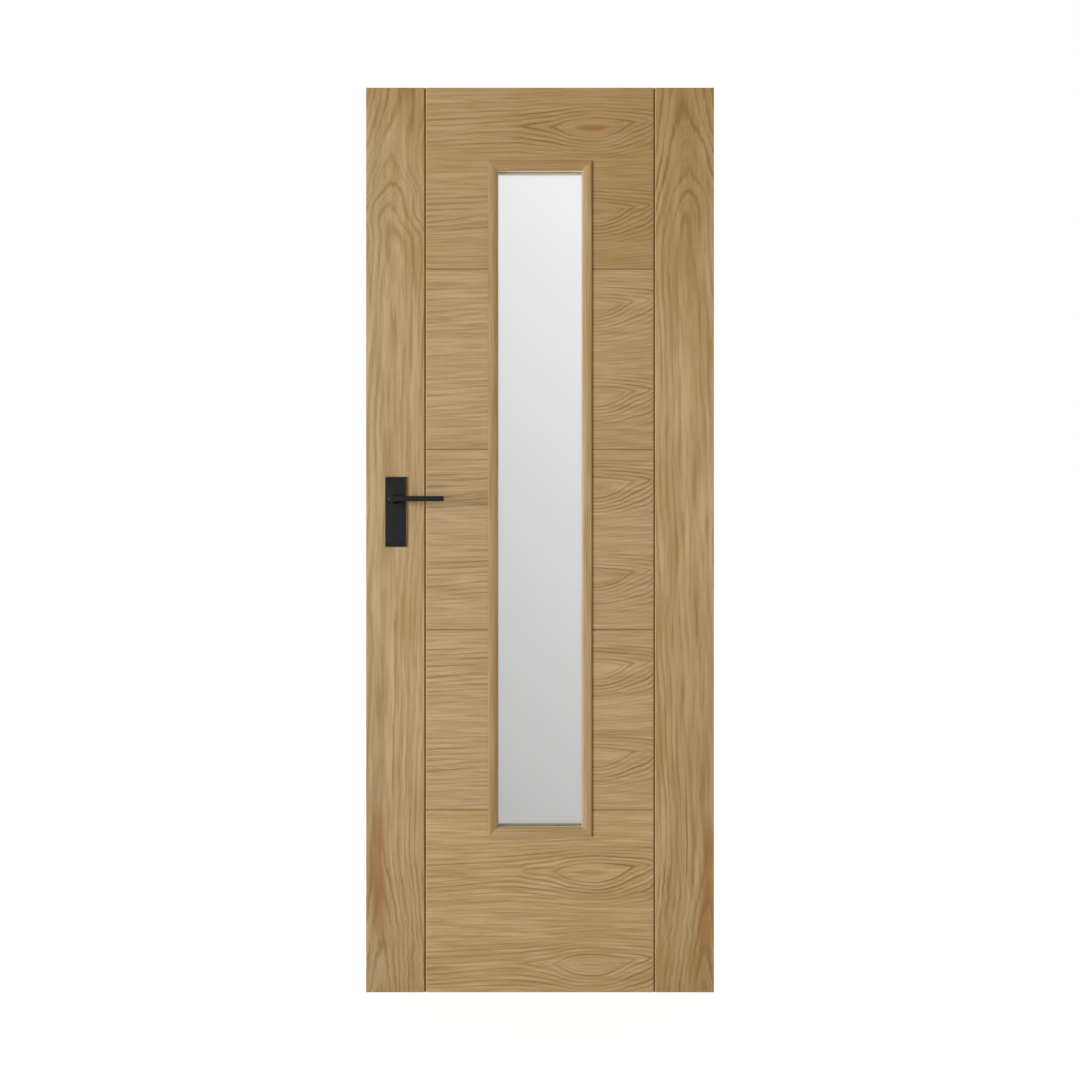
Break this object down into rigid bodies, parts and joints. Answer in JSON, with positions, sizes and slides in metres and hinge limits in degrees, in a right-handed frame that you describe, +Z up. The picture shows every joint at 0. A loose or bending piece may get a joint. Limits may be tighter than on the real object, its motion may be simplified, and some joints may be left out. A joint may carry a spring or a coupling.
{
  "type": "glazed door",
  "caption": "Oak door leaf with two stiles, tongued infill boards, a tall narrow glazed light with mitred beads, and a lever handle on a plate on each face.",
  "frame": {"origin": "foot of the hinge edge, in the middle of the leaf's thickness", "axes": "+Z up the leaf, +X out of the hinge edge with the leaf running to -X, -Y out of the front face"},
  "size_m": [0.762, 0.151, 1.981],
  "materials": {
    "oak_stile": "straight and arched grain running up the stile, clear satin lacquer",
    "oak_board": "grain running across the door, clear satin lacquer",
    "oak_bead": "straight grain along the bead, clear satin lacquer",
    "oak_lipping": "solid straight-grained strip, clear satin lacquer",
    "obscured_glass": "satin obscured glass",
    "glazing_tape": "matt foam tape",
    "black_iron": "matt black powder coat",
    "latch_steel": "brushed"
  },
  "bodies": {
    "leaf": {"lock_stile": "oak_stile", "hinge_stile": "oak_stile", "lock_edge_lipping": "oak_lipping", "hinge_edge_lipping": "oak_lipping", "top_board": "oak_board", "bottom_board": "oak_board", "upper_left_board": "oak_board", "upper_right_board": "oak_board", "middle_left_board": "oak_board", "middle_right_board": "oak_board", "lower_left_board": "oak_board", "lower_right_board": "oak_board", "front_left_bead": "oak_bead", "front_right_bead": "oak_bead", "front_top_bead": "oak_bead", "front_bottom_bead": "oak_bead", "back_left_bead": "oak_bead", "back_right_bead": "oak_bead", "back_top_bead": "oak_bead", "back_bottom_bead": "oak_bead", "glass_pane": "obscured_glass", "front_glazing_tape": "glazing_tape", "back_glazing_tape": "glazing_tape", "front_plate": "black_iron", "back_plate": "black_iron", "latch_case": "latch_steel", "latch_forend": "latch_steel", "latch_bolt": "latch_steel"},
    "levers": {"front_lever": "black_iron", "back_lever": "black_iron", "spindle": "latch_steel"}
  },
  "joints": [
    {"name": "lever_turn", "type": "hinge", "parent": "leaf", "child": "levers", "pos_m": [-0.697, 0, 1.079], "axis": [0, 1, 0], "range_deg": [0, 40], "stiffness_Nm_per_rad": 1.5, "springref_deg": -22.92}
  ]
}
